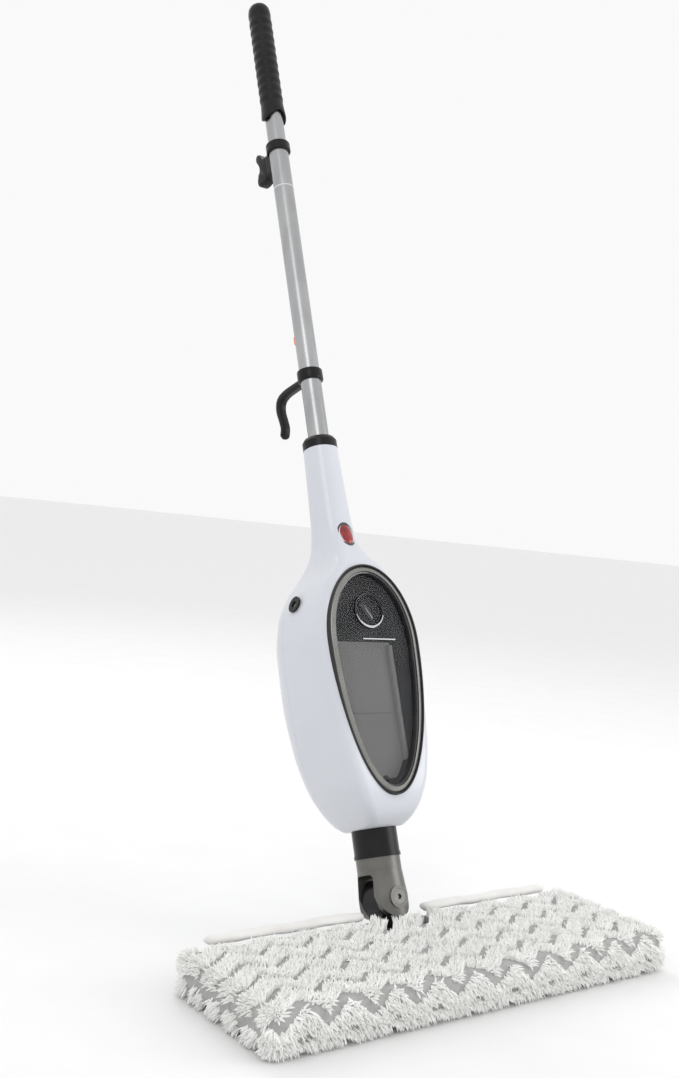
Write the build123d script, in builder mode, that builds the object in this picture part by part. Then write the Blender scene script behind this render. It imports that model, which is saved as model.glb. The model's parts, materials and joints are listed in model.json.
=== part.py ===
from build123d import *
import math
import os

# Steam mop with a pump-action pole, a front water tank and a two-sided pocket pad.
# Frame: the origin is the centre of the pad's footprint on the floor, +X runs along the
# mop head, +Y points back towards the user and +Z is up. The pole leans back as in use.
# Everything above the head is drawn in the pole's own planes, whose origin is the pivot
# pin of the head: heights below are distances up the pole from that pin.

os.makedirs("parts", exist_ok=True)

# ---- Driving dimensions, in millimetres and degrees ----
LEAN = 22.3
HINGE_Y = 83.0
HINGE_Z = 24.0

# Pole tubes, collars and grip
TUBE_R = 12.5
TUBE_WALL = 0.8
SPIGOT_R = 11.65
SPIGOT_WALL = 1.0
GRIP_R = 15.0
GRIP_FLARE_R = 16.0
GRIP_END = 1006.0
GRIP_TOP = 1190.0
GRIP_DOME = 12.0
HANG_HOLE_R = 3.0
HANG_HOLE_HEIGHT = 1172.0
HANDLE_TUBE = (885.0, 1150.0)
COLLAR_R = 15.6
UPPER_COLLAR = (959.0, 971.5)
UPPER_TUBE_TOP = 966.0
JOINT_RING = (904.6, 906.4)
LOWER_COLLAR = (636.0, 650.0)
LOWER_TUBE = (480.0, 643.0)
BUTTON_HEIGHT = 698.0
BUTTON_PROUD = 5.0

# Cord hooks, on the back of the pole
HOOK_HALF_WIDTH = 6.0
SWIVEL_HEIGHT = 950.0
SADDLE_BACK = 20.0
SWIVEL_HALF_WIDTH = 8.0

# Housing sections: height, half width, front and back distance from the pole's axis,
# front corner radius and back corner radius. The neck is nearly round.
HOUSING_SECTIONS = (
    (104.0, 26.0, 27.0, 31.0, 12.0, 18.0),
    (112.0, 32.0, 36.5, 41.0, 12.0, 21.0),
    (128.0, 42.0, 44.5, 50.0, 13.0, 25.0),
    (155.0, 53.5, 47.6, 58.5, 13.0, 29.0),
    (200.0, 62.5, 48.0, 65.0, 13.0, 31.0),
    (255.0, 66.5, 48.0, 68.0, 13.0, 31.0),
    (305.0, 66.8, 48.0, 67.5, 13.0, 31.0),
    (345.0, 61.0, 48.0, 63.0, 13.0, 29.0),
    (372.0, 48.5, 48.0, 55.5, 13.0, 25.0),
    (391.0, 34.5, 45.5, 46.0, 13.0, 20.0),
    (406.0, 27.5, 36.5, 34.5, 15.0, 18.0),
    (424.0, 23.8, 28.0, 26.0, 18.0, 18.0),
    (450.0, 22.4, 23.8, 22.8, 19.5, 19.5),
    (500.0, 21.2, 21.6, 21.4, 19.8, 19.8),
    (546.0, 20.2, 20.2, 20.2, 19.4, 19.4),
)
WALL = 2.6
HOUSING_BOTTOM = 104.0
NECK_TOP = 546.0
NECK_COLLAR_TOP = 560.0
PARTING = 34.0
BUSH = (491.3, 544.0)
SCREW_SPOTS = ((-51.3, 180.0), (51.3, 180.0), (-58.0, 318.0), (58.0, 318.0))
SCREW_R = 1.5

# Water tank: an egg outline on the housing's front face, and its filler
EGG_CENTRE = 302.0
EGG_HALF_WIDTH = 63.0
EGG_TOP = 88.0
EGG_BOTTOM = 168.0
GASKET_INSET = 2.2
BEZEL_INSET = 8.5
BEZEL_FRONT = 50.5
WINDOW_FRONT = 44.0
TANK_BACK = 17.0
CAP_HEIGHT = 337.0
CUP_R = 20.0
PLUG_R = 11.2

# Indicator lens on the neck
LENS_HEIGHT = 433.0
LENS_HALF_WIDTH = 12.5
LENS_HALF_HEIGHT = 15.0
LENS_RIM = 3.0

# Power cord inlet on the left side
INLET = (-57.0, 11.5, 356.6)
INLET_TILT = 20.0
INLET_R = 9.5
CORD_BORE_R = 4.0

# Pump, on the pole's axis, and boiler behind the tank
PUMP_BODY = (370.0, 421.0)
PUMP_BORE_R = 9.0
PUMP_R = 13.0
PISTON = (398.0, 412.0)
STOP_HEIGHT = 489.0
BOILER = (190.0, 300.0)
BOILER_FRONT = -6.0
BOILER_BACK = 28.0
BOILER_HALF_WIDTH = 28.0
HOSE_R = 3.0

# Lower neck: outlet collar, yoke, pin and knuckle
OUTLET_R = 24.6
YOKE_TOP = 74.0
YOKE_R = 24.0
YOKE_FLARE_R = 26.3
YOKE_SPIGOT_R = 20.0
SLOT_HALF = 13.0
SLOT_TOP = 57.0
BOSS_R = 11.5
BOSS_PROUD = 27.0
PIN_HEIGHT = 31.5
PIN_R = 4.0
PIN_HEAD_R = 7.8
PIN_HEAD = 3.0
KNUCKLE_HALF = 12.6
KNUCKLE_R = 20.0
BARREL_R = 9.0
BARREL_HALF = 14.0
FIT = 0.05

# Head and pad
HEAD_HALF_X = 243.0
HEAD_FRONT = -64.0
HEAD_BACK = 66.0
HEAD_BOTTOM = 14.0
HEAD_SPLIT = 24.0
HEAD_TOP = 34.0
HEAD_WALL = 2.5
HEAD_CORNER = 14.0
LUG = (14.3, 23.0)
PAD_HALF_X = 262.0
PAD_HALF_Y = 84.0
PAD_TOP = 48.0
NOTCH_HALF = 36.0
NOTCH_FRONT = 54.0
HEM_HALF_X = 232.0
HEM_FRONT = 70.0
HEM_THICK = 11.0
SOFT_GAP = 0.5

# ---- Working planes ----
lean = math.radians(LEAN)
pole_axis = (0, math.sin(lean), math.cos(lean))
# pole: x across, y towards the back, offset = height up the pole.
pole = Plane(origin=(0, HINGE_Y, HINGE_Z), x_dir=(1, 0, 0), z_dir=pole_axis)
# front and back: y = height, offset = distance in front of or behind the pole's axis.
front = Plane(origin=pole.origin, x_dir=(1, 0, 0), z_dir=-pole.y_dir)
back = Plane(origin=pole.origin, x_dir=(-1, 0, 0), z_dir=pole.y_dir)
# side: x towards the back, y = height, offset = distance to the right.
side = Plane(origin=pole.origin, x_dir=pole.y_dir, z_dir=(1, 0, 0))


def disc(plane, radius, low, high, spot=(0, 0), mode=Mode.ADD):
    """A cylinder square to the plane, from offset low to offset high, centred on spot."""
    with BuildSketch(plane.offset(low)) as section:
        with Locations(spot):
            Circle(radius)
    extrude(section.sketch, amount=high - low, mode=mode)


def egg(inset, mode=Mode.ADD):
    """Draws the tank's egg outline, moved in by inset, in the sketch being built."""
    width = EGG_HALF_WIDTH - inset
    with BuildLine() as outline:
        EllipticalCenterArc((0, EGG_CENTRE), width, EGG_TOP - inset, 0, arc_size=180)
        EllipticalCenterArc((0, EGG_CENTRE), width, EGG_BOTTOM - inset, 180, arc_size=180)
    make_face(outline.edges(), mode=mode)


def egg_block(inset, low, high, mode=Mode.ADD):
    """The egg outline as a block, from low to high in front of the pole's axis."""
    with BuildSketch(front.offset(low)) as section:
        egg(inset)
    extrude(section.sketch, amount=high - low, mode=mode)


def housing_section(station, wall, height):
    """One section of the housing, moved in by wall, as a sketch across the pole."""
    _, half_width, front_at, back_at, front_r, back_r = station
    with BuildSketch(pole.offset(height)) as section:
        with Locations((0, (back_at - front_at) / 2)):
            Rectangle(2 * (half_width - wall), front_at + back_at - 2 * wall)
        fillet(section.vertices().group_by(Axis.Y)[0], front_r - wall)
        fillet(section.vertices().group_by(Axis.Y)[-1], back_r - wall)
    return section.sketch


def hose(points, bend, radius, plane):
    """A round hose along straight runs and bends drawn on a plane."""
    with BuildLine(plane) as path:
        FilletPolyline(*points, radius=bend)
    with BuildSketch(Plane(origin=path.line @ 0, z_dir=path.line % 0)) as section:
        Circle(radius)
    sweep(section.sketch, path=path.line)


# ==== Pole: grip, tubes, collars and cord hooks ====

# The grip is a moulded sleeve with a domed top, a flared lower edge cut to an arch at
# front and back, and a hole to hang the mop up by.
with BuildPart() as grip:
    with BuildSketch(side):
        with BuildLine():
            Polyline(
                (0, GRIP_END), (GRIP_FLARE_R, GRIP_END), (GRIP_FLARE_R - 0.4, GRIP_END + 6),
                (GRIP_R - 0.4, GRIP_END + 24), (GRIP_R, GRIP_TOP), (0, GRIP_TOP), close=True,
            )
        make_face()
    revolve(axis=Axis(pole.origin, pole.z_dir))
    fillet(grip.faces().sort_by(Axis(pole.origin, pole.z_dir))[-1].edges(), GRIP_DOME)
    disc(pole, SPIGOT_R, GRIP_END, HANDLE_TUBE[1], mode=Mode.SUBTRACT)
    disc(front, GRIP_FLARE_R, -30, 30, (0, GRIP_END - 4), mode=Mode.SUBTRACT)
    disc(front, HANG_HOLE_R, -30, 30, (0, HANG_HOLE_HEIGHT), mode=Mode.SUBTRACT)
grip.part.label = "grip"
export_step(grip.part, "parts/grip.step")

with BuildPart() as handle_tube:
    disc(pole, SPIGOT_R, HANDLE_TUBE[0], HANDLE_TUBE[1])
    disc(pole, SPIGOT_R - SPIGOT_WALL, HANDLE_TUBE[0], HANDLE_TUBE[1], mode=Mode.SUBTRACT)
handle_tube.part.label = "handle_tube"
export_step(handle_tube.part, "parts/handle_tube.step")

with BuildPart() as upper_collar:
    disc(pole, COLLAR_R, UPPER_COLLAR[0], UPPER_COLLAR[1])
    disc(pole, SPIGOT_R, UPPER_COLLAR[0], UPPER_COLLAR[1], mode=Mode.SUBTRACT)
    disc(pole, TUBE_R, UPPER_COLLAR[0], UPPER_TUBE_TOP, mode=Mode.SUBTRACT)
    fillet(upper_collar.edges().filter_by(GeomType.CIRCLE).sort_by(lambda e: e.radius)[-2:], 1.6)
upper_collar.part.label = "upper_collar"
export_step(upper_collar.part, "parts/upper_collar.step")

with BuildPart() as upper_tube:
    disc(pole, TUBE_R, JOINT_RING[1], UPPER_TUBE_TOP)
    disc(pole, TUBE_R - TUBE_WALL, JOINT_RING[1], UPPER_TUBE_TOP, mode=Mode.SUBTRACT)
upper_tube.part.label = "upper_tube"
export_step(upper_tube.part, "parts/upper_tube.step")

with BuildPart() as joint_ring:
    disc(pole, TUBE_R + 0.3, JOINT_RING[0], JOINT_RING[1])
    disc(pole, TUBE_R - TUBE_WALL, JOINT_RING[0], JOINT_RING[1], mode=Mode.SUBTRACT)
joint_ring.part.label = "joint_ring"
export_step(joint_ring.part, "parts/joint_ring.step")

# The pole tube has a slot in its back wall for the snap button.
with BuildPart() as pole_tube:
    disc(pole, TUBE_R, LOWER_TUBE[1], JOINT_RING[0])
    disc(pole, TUBE_R - TUBE_WALL, LOWER_TUBE[1], JOINT_RING[0], mode=Mode.SUBTRACT)
    with BuildSketch(back):
        with Locations((0, BUTTON_HEIGHT)):
            SlotOverall(15.2, 9.2, rotation=90)
    extrude(amount=TUBE_R + 2, mode=Mode.SUBTRACT)
pole_tube.part.label = "pole_tube"
export_step(pole_tube.part, "parts/pole_tube.step")

# A narrower tube inside joins the pole tube to the lower tube and guides the button.
with BuildPart() as tube_spigot:
    disc(pole, SPIGOT_R, 600.0, 722.0)
    disc(pole, SPIGOT_R - SPIGOT_WALL, 600.0, 722.0, mode=Mode.SUBTRACT)
    with BuildSketch(back):
        with Locations((0, BUTTON_HEIGHT)):
            SlotOverall(15.2, 9.2, rotation=90)
    extrude(amount=TUBE_R + 2, mode=Mode.SUBTRACT)
tube_spigot.part.label = "tube_spigot"
export_step(tube_spigot.part, "parts/tube_spigot.step")

with BuildPart() as snap_button:
    with BuildSketch(back.offset(5.2)):
        with Locations((0, BUTTON_HEIGHT)):
            SlotOverall(15.0, 9.0, rotation=90)
    extrude(amount=TUBE_R + BUTTON_PROUD - 5.2)
    fillet(snap_button.faces().sort_by(Axis(back.origin, back.z_dir))[-1].edges(), 2.0)
    with BuildSketch(back.offset(4.2)):
        with Locations((0, BUTTON_HEIGHT)):
            SlotOverall(17.0, 11.0, rotation=90)
    extrude(amount=1.0)
snap_button.part.label = "snap_button"
export_step(snap_button.part, "parts/snap_button.step")

# The leaf spring is folded like a hairpin: one leg backs the button, the other leans on
# the far wall of the spigot.
with BuildPart() as snap_spring:
    with BuildSketch(side):
        with BuildLine():
            leaf = FilletPolyline((3.8, 706.0), (3.8, 662.0), (-8.6, 662.0), (-8.6, 700.0), radius=5.5)
            offset(leaf, amount=0.3, side=Side.BOTH)
        make_face()
    extrude(amount=3.0, both=True)
snap_spring.part.label = "snap_spring"
export_step(snap_spring.part, "parts/snap_spring.step")

with BuildPart() as lower_tube:
    disc(pole, TUBE_R, LOWER_TUBE[0], LOWER_TUBE[1])
    disc(pole, TUBE_R - TUBE_WALL, LOWER_TUBE[0], LOWER_TUBE[1], mode=Mode.SUBTRACT)
    with BuildSketch(side):
        with Locations((0, STOP_HEIGHT)):
            Circle(2.0)
    extrude(amount=TUBE_R + 2, both=True, mode=Mode.SUBTRACT)
lower_tube.part.label = "lower_tube"
export_step(lower_tube.part, "parts/lower_tube.step")

# The lower collar and the fixed cord hook are one moulding: an arm straight back and a
# finger that hangs down from it.
with BuildPart() as lower_hook:
    disc(pole, COLLAR_R, LOWER_COLLAR[0], LOWER_COLLAR[1])
    fillet(lower_hook.edges().filter_by(GeomType.CIRCLE), 1.6)
    with BuildSketch(side):
        with BuildLine():
            arm = Polyline(
                (0, 646), (60, 645), (67, 640), (72, 596), (67, 588),
                (59, 588), (46, 620), (36, 625), (0, 625), close=True,
            )
        make_face()
        fillet(arm.vertices().sort_by(Axis.X)[4:], 3.5)
    extrude(amount=HOOK_HALF_WIDTH, both=True)
    disc(pole, TUBE_R, 600, 700, mode=Mode.SUBTRACT)
lower_hook.part.label = "lower_hook"
export_step(lower_hook.part, "parts/lower_hook.step")

# The upper hook turns on a screw in a saddle on the tube, so that a half turn drops the
# whole cord at once.
with BuildPart() as hook_saddle:
    with BuildSketch(back):
        with Locations((0, SWIVEL_HEIGHT)):
            SlotOverall(38, 2 * SWIVEL_HALF_WIDTH, rotation=90)
    extrude(amount=SADDLE_BACK)
    disc(pole, TUBE_R, 900, 1000, mode=Mode.SUBTRACT)
    disc(pole, COLLAR_R, UPPER_COLLAR[0], UPPER_COLLAR[1], mode=Mode.SUBTRACT)
    disc(back, 3.0, 0, 40, (0, SWIVEL_HEIGHT), mode=Mode.SUBTRACT)
hook_saddle.part.label = "hook_saddle"
export_step(hook_saddle.part, "parts/hook_saddle.step")

with BuildPart() as upper_hook:
    with BuildSketch(side):
        with Locations((31, SWIVEL_HEIGHT - 5)):
            Circle(13)
        with BuildLine():
            Polyline((18, 966), (18, 936), (36, 950), (34, 960), (41, 976), (36, 979), close=True)
        make_face()
    extrude(amount=SWIVEL_HALF_WIDTH - 1, both=True)
    split(bisect_by=back.offset(SADDLE_BACK + 0.3), keep=Keep.TOP)
    disc(back, 3.0 + FIT, 0, 60, (0, SWIVEL_HEIGHT), mode=Mode.SUBTRACT)
    disc(back, 5.6, 40.0, 60, (0, SWIVEL_HEIGHT), mode=Mode.SUBTRACT)
upper_hook.part.label = "upper_hook"
export_step(upper_hook.part, "parts/upper_hook.step")

with BuildPart() as hook_screw:
    disc(back, 3.0, 14.0, 42.0, (0, SWIVEL_HEIGHT))
    disc(back, 5.5, 40.0, 42.5, (0, SWIVEL_HEIGHT))
    disc(back, 1.6, 41.0, 43.0, (0, SWIVEL_HEIGHT), mode=Mode.SUBTRACT)
hook_screw.part.label = "hook_screw"
export_step(hook_screw.part, "parts/hook_screw.step")

# ==== Pump rod and piston, which move with the pole ====

with BuildPart() as pump_rod:
    disc(pole, TUBE_R - TUBE_WALL, LOWER_TUBE[0], LOWER_TUBE[0] + 20)
    disc(pole, 4.0, PISTON[0], LOWER_TUBE[0])
    with BuildSketch(side):
        with Locations((0, STOP_HEIGHT)):
            Circle(2.0)
    extrude(amount=TUBE_R + 2, both=True, mode=Mode.SUBTRACT)
pump_rod.part.label = "pump_rod"
export_step(pump_rod.part, "parts/pump_rod.step")

# The stop pin crosses the lower tube under the bush and keeps the housing from falling off.
with BuildPart() as stop_pin:
    with BuildSketch(side):
        with Locations((0, STOP_HEIGHT)):
            Circle(2.0)
    extrude(amount=15.5, both=True)
stop_pin.part.label = "stop_pin"
export_step(stop_pin.part, "parts/stop_pin.step")

with BuildPart() as pump_piston:
    disc(pole, PUMP_BORE_R - FIT, PISTON[0], PISTON[1])
    disc(pole, 4.0, PISTON[0], PISTON[1], mode=Mode.SUBTRACT)
    with BuildSketch(pole.offset(403.5)):
        Circle(PUMP_BORE_R + 1)
        Circle(7.0, mode=Mode.SUBTRACT)
    extrude(amount=3.0, mode=Mode.SUBTRACT)
pump_piston.part.label = "pump_piston"
export_step(pump_piston.part, "parts/pump_piston.step")

with BuildPart() as piston_seal:
    disc(pole, PUMP_BORE_R - 0.02, 403.6, 406.4)
    disc(pole, 7.0, 403.6, 406.4, mode=Mode.SUBTRACT)
piston_seal.part.label = "piston_seal"
export_step(piston_seal.part, "parts/piston_seal.step")

# ==== Housing: a deep front shell with the neck, and a rear cover ====

outer_sections = [housing_section(s, 0.0, s[0]) for s in HOUSING_SECTIONS]
inner_sections = [housing_section(s, WALL, s[0]) for s in HOUSING_SECTIONS[1:-1]]
inner_sections.insert(0, housing_section(HOUSING_SECTIONS[0], WALL, HOUSING_BOTTOM + WALL))
inner_sections.append(housing_section(HOUSING_SECTIONS[-1], WALL, NECK_TOP + 1))

with BuildPart() as housing_body:
    loft(sections=outer_sections, ruled=True)

with BuildPart() as housing_hollow:
    loft(sections=inner_sections, ruled=True)

inlet_at = pole.from_local_coords(Vector(INLET[0], INLET[1], INLET[2]))
inlet_tilt = math.radians(INLET_TILT)
inlet_axis = Vector(-math.cos(inlet_tilt), 0, 0) + pole.z_dir * math.sin(inlet_tilt)
inlet = Plane(origin=inlet_at, x_dir=pole.y_dir, z_dir=inlet_axis)

with BuildPart() as front_housing:
    add(housing_body.part)
    add(housing_hollow.part, mode=Mode.SUBTRACT)
    # Bosses for the cover screws stand on the side walls.
    for spot in SCREW_SPOTS:
        disc(back, 5.0, PARTING - 18, PARTING, (-spot[0], spot[1]))
    split(bisect_by=back.offset(PARTING), keep=Keep.BOTTOM)
    for spot in SCREW_SPOTS:
        disc(back, SCREW_R, PARTING - 14, PARTING + 1, (-spot[0], spot[1]), mode=Mode.SUBTRACT)
    egg_block(0, 20, 60, mode=Mode.SUBTRACT)
    with BuildSketch(front.offset(20)):
        with Locations((0, LENS_HEIGHT)):
            Ellipse(LENS_HALF_WIDTH, LENS_HALF_HEIGHT)
    extrude(amount=30, mode=Mode.SUBTRACT)
    disc(pole, 22.2, HOUSING_BOTTOM - 1, HOUSING_BOTTOM + WALL + 1, mode=Mode.SUBTRACT)
    disc(inlet, INLET_R - 2, -20, 20, mode=Mode.SUBTRACT)
front_housing.part.label = "front_housing"
export_step(front_housing.part, "parts/front_housing.step")

with BuildPart() as rear_housing:
    add(housing_body.part)
    add(housing_hollow.part, mode=Mode.SUBTRACT)
    for spot in SCREW_SPOTS:
        disc(back, 5.0, PARTING, PARTING + 8, (-spot[0], spot[1]))
    split(bisect_by=back.offset(PARTING), keep=Keep.TOP)
    for spot in SCREW_SPOTS:
        disc(back, SCREW_R + 0.2, PARTING - 1, PARTING + 40, (-spot[0], spot[1]), mode=Mode.SUBTRACT)
        disc(back, 3.4, PARTING + 4, PARTING + 40, (-spot[0], spot[1]), mode=Mode.SUBTRACT)
rear_housing.part.label = "rear_housing"
export_step(rear_housing.part, "parts/rear_housing.step")

with BuildPart() as cover_screws:
    for spot in SCREW_SPOTS:
        disc(back, SCREW_R, PARTING - 12, PARTING + 4, (-spot[0], spot[1]))
        disc(back, 3.0, PARTING + 4, PARTING + 6.4, (-spot[0], spot[1]))
        disc(back, 0.9, PARTING + 5, PARTING + 7, (-spot[0], spot[1]), mode=Mode.SUBTRACT)
cover_screws.part.label = "cover_screws"
export_step(cover_screws.part, "parts/cover_screws.step")

with BuildPart() as neck_collar:
    disc(pole, 20.6, NECK_TOP, NECK_COLLAR_TOP)
    rims = neck_collar.edges().filter_by(GeomType.CIRCLE).sort_by(Axis(pole.origin, pole.z_dir))
    chamfer(rims[-1], 4.0, 2.6)
    disc(pole, TUBE_R + 0.5, NECK_TOP - 1, NECK_COLLAR_TOP + 1, mode=Mode.SUBTRACT)
neck_collar.part.label = "neck_collar"
export_step(neck_collar.part, "parts/neck_collar.step")

with BuildPart() as neck_bush:
    disc(pole, 17.3, BUSH[0], BUSH[1])
    disc(pole, TUBE_R + FIT, BUSH[0], BUSH[1], mode=Mode.SUBTRACT)
neck_bush.part.label = "neck_bush"
export_step(neck_bush.part, "parts/neck_bush.step")

with BuildPart() as lens_bezel:
    add(housing_body.part)
    with BuildSketch(front.offset(23.0)):
        with Locations((0, LENS_HEIGHT)):
            Ellipse(LENS_HALF_WIDTH, LENS_HALF_HEIGHT)
            Ellipse(LENS_HALF_WIDTH - LENS_RIM, LENS_HALF_HEIGHT - LENS_RIM, mode=Mode.SUBTRACT)
    extrude(amount=20, mode=Mode.INTERSECT)
lens_bezel.part.label = "lens_bezel"
export_step(lens_bezel.part, "parts/lens_bezel.step")

with BuildPart() as indicator_lens:
    add(housing_body.part)
    with BuildSketch(front.offset(23.0)):
        with Locations((0, LENS_HEIGHT)):
            Ellipse(LENS_HALF_WIDTH - LENS_RIM, LENS_HALF_HEIGHT - LENS_RIM)
    extrude(amount=20, mode=Mode.INTERSECT)
indicator_lens.part.label = "indicator_lens"
export_step(indicator_lens.part, "parts/indicator_lens.step")

# The power cord enters through this grommet.
with BuildPart() as cord_grommet:
    disc(inlet, INLET_R - 2, -6.0, 0.5)
    disc(inlet, INLET_R, 1.2, 3.2)
    disc(inlet, INLET_R - 2, 0.5, 1.2)
    disc(inlet, CORD_BORE_R, -8, 8, mode=Mode.SUBTRACT)
cord_grommet.part.label = "cord_grommet"
export_step(cord_grommet.part, "parts/cord_grommet.step")

# ==== Water tank ====

with BuildPart() as tank_gasket:
    egg_block(0.1, 43.0, 49.0)
    egg_block(GASKET_INSET, 43.0, 49.0, mode=Mode.SUBTRACT)
tank_gasket.part.label = "tank_gasket"
export_step(tank_gasket.part, "parts/tank_gasket.step")

with BuildPart() as tank_bezel:
    egg_block(GASKET_INSET + 0.1, 43.0, BEZEL_FRONT)
    egg_block(BEZEL_INSET, 43.0, BEZEL_FRONT, mode=Mode.SUBTRACT)
tank_bezel.part.label = "tank_bezel"
export_step(tank_bezel.part, "parts/tank_bezel.step")

with BuildPart() as tank_window:
    egg_block(BEZEL_INSET + 0.1, 41.0, WINDOW_FRONT)
    disc(front, CUP_R + 0.1, 40, 46, (0, CAP_HEIGHT), mode=Mode.SUBTRACT)
tank_window.part.label = "tank_window"
export_step(tank_window.part, "parts/tank_window.step")

# The reservoir is a deep tray with a flange that the bezel and the window sit on.
with BuildPart() as tank_shell:
    egg_block(4.0, 39.0, 40.9)
    egg_block(9.0, TANK_BACK, 39.0)
    egg_block(11.0, TANK_BACK + 2, 45.0, mode=Mode.SUBTRACT)
    disc(front, HOSE_R, TANK_BACK - 1, TANK_BACK + 3, (0, 152.0), mode=Mode.SUBTRACT)
tank_shell.part.label = "tank_shell"
export_step(tank_shell.part, "parts/tank_shell.step")

# A raised inner wall fills the lower left of the tank, in front of the boiler.
with BuildPart() as tank_liner:
    with BuildSketch(front.offset(TANK_BACK + 2.1)):
        egg(13.0)
        with Locations((-15.0, 229.0)):
            Rectangle(96.0, 150.0, mode=Mode.INTERSECT)
        with Locations((40.0, 262.0)):
            Rectangle(14.0, 76.0, mode=Mode.SUBTRACT)
        with Locations((0, 152.0)):
            Circle(HOSE_R + 2, mode=Mode.SUBTRACT)
    extrude(amount=14.0)
tank_liner.part.label = "tank_liner"
export_step(tank_liner.part, "parts/tank_liner.step")

with BuildPart() as filler_cup:
    disc(front, CUP_R, 30.0, WINDOW_FRONT + 0.8, (0, CAP_HEIGHT))
    disc(front, CUP_R - 1.6, 32.0, 50.0, (0, CAP_HEIGHT), mode=Mode.SUBTRACT)
    disc(front, PLUG_R + 0.4, 29.0, 33.0, (0, CAP_HEIGHT), mode=Mode.SUBTRACT)
filler_cup.part.label = "filler_cup"
export_step(filler_cup.part, "parts/filler_cup.step")

# The cap is a plug with a flange and a finger bar, turned a quarter turn to free it.
with BuildPart() as tank_cap:
    disc(front, PLUG_R, 24.0, 33.4, (0, CAP_HEIGHT))
    disc(front, CUP_R - 2.4, 33.4, 36.0, (0, CAP_HEIGHT))
    with BuildSketch(front.offset(36.0)):
        with Locations((0, CAP_HEIGHT)):
            SlotOverall(31.0, 7.5, rotation=125)
    extrude(amount=8.5, taper=5)
tank_cap.part.label = "tank_cap"
export_step(tank_cap.part, "parts/tank_cap.step")

with BuildPart() as cap_seal:
    disc(front, 16.0, 32.1, 33.4, (0, CAP_HEIGHT))
    disc(front, PLUG_R, 32.0, 34.0, (0, CAP_HEIGHT), mode=Mode.SUBTRACT)
cap_seal.part.label = "cap_seal"
export_step(cap_seal.part, "parts/cap_seal.step")

# ==== Pump, boiler and hoses inside the housing ====

with BuildPart() as pump_body:
    disc(pole, PUMP_R, PUMP_BODY[0], PUMP_BODY[1])
    disc(pole, PUMP_BORE_R, PUMP_BODY[0] + 5, PUMP_BODY[1], mode=Mode.SUBTRACT)
    disc(pole, HOSE_R, PUMP_BODY[0], PUMP_BODY[0] + 5, mode=Mode.SUBTRACT)
pump_body.part.label = "pump_body"
export_step(pump_body.part, "parts/pump_body.step")

# The pump's cap is a flange that fits across the foot of the neck.
with BuildPart() as pump_cap:
    disc(pole, 20.4, PUMP_BODY[1], PUMP_BODY[1] + 4)
    disc(pole, 4.0 + FIT, PUMP_BODY[1], PUMP_BODY[1] + 4, mode=Mode.SUBTRACT)
pump_cap.part.label = "pump_cap"
export_step(pump_cap.part, "parts/pump_cap.step")

coil_foot = pole.from_local_coords(Vector(0, 0, PUMP_BODY[1] + 5))
with BuildPart() as pump_spring:
    with BuildLine() as coil:
        Helix(pitch=7.0, height=52.5, radius=7.0, center=coil_foot, direction=pole.z_dir)
    with BuildSketch(Plane(origin=coil.line @ 0, z_dir=coil.line % 0)):
        Circle(0.7)
    sweep(path=coil.line, is_frenet=True)
pump_spring.part.label = "pump_spring"
export_step(pump_spring.part, "parts/pump_spring.step")

with BuildPart() as boiler:
    with BuildSketch(pole.offset(BOILER[0])):
        with Locations((0, (BOILER_FRONT + BOILER_BACK) / 2)):
            RectangleRounded(2 * BOILER_HALF_WIDTH, BOILER_BACK - BOILER_FRONT, 8.0)
    extrude(amount=BOILER[1] - BOILER[0])
    fillet(boiler.faces().sort_by(Axis(pole.origin, pole.z_dir))[-1].edges(), 4.0)
boiler.part.label = "boiler"
export_step(boiler.part, "parts/boiler.step")

with BuildPart() as heater_terminals:
    for x in (-19.0, 19.0):
        disc(pole, 3.2, BOILER[1], BOILER[1] + 14, (x, 11.0))
        disc(pole, 1.2, BOILER[1] + 14, BOILER[1] + 22, (x, 11.0))
heater_terminals.part.label = "heater_terminals"
export_step(heater_terminals.part, "parts/heater_terminals.step")

with BuildPart() as thermostat:
    disc(back, 9.0, BOILER_BACK, BOILER_BACK + 6, (0, 270.0))
    disc(back, 4.5, BOILER_BACK + 6, BOILER_BACK + 11, (0, 270.0))
thermostat.part.label = "thermostat"
export_step(thermostat.part, "parts/thermostat.step")

with BuildPart() as thermal_fuse:
    with BuildSketch(side.offset(-12.0)):
        with Locations((BOILER_BACK + 2.5, 232.0)):
            Circle(2.5)
    extrude(amount=24.0)
thermal_fuse.part.label = "thermal_fuse"
export_step(thermal_fuse.part, "parts/thermal_fuse.step")

# The bracket hangs the boiler from the rear cover's side walls.
with BuildPart() as boiler_bracket:
    with BuildSketch(back.offset(BOILER_BACK)):
        with Locations((0, 204.0)):
            RectangleRounded(100.0, 16.0, 3.0)
    extrude(amount=2.5)
boiler_bracket.part.label = "boiler_bracket"
export_step(boiler_bracket.part, "parts/boiler_bracket.step")

with BuildPart() as terminal_block:
    with BuildSketch(pole.offset(322.0)):
        with Locations((-34.0, 16.0)):
            Rectangle(16.0, 24.0)
    extrude(amount=12.0)
    for y in (8.0, 16.0, 24.0):
        disc(pole, 2.0, 330.0, 335.0, (-34.0, y), mode=Mode.SUBTRACT)
terminal_block.part.label = "terminal_block"
export_step(terminal_block.part, "parts/terminal_block.step")

with BuildPart() as inlet_hose:
    hose(((-TANK_BACK, 152), (-11.5, 152), (-11.5, 352), (0, 360), (0, 370)), 3.6, 2.8, side)
inlet_hose.part.label = "inlet_hose"
export_step(inlet_hose.part, "parts/inlet_hose.step")

with BuildPart() as pump_hose:
    hose(((PUMP_R, 378), (24, 378), (24, 330), (14, 314), (14, 300)), 6.0, HOSE_R, side)
pump_hose.part.label = "pump_hose"
export_step(pump_hose.part, "parts/pump_hose.step")

with BuildPart() as steam_hose:
    hose(((11, 190), (11, 160), (0, 140), (0, 112)), 8.0, 4.0, side)
steam_hose.part.label = "steam_hose"
export_step(steam_hose.part, "parts/steam_hose.step")

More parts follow.
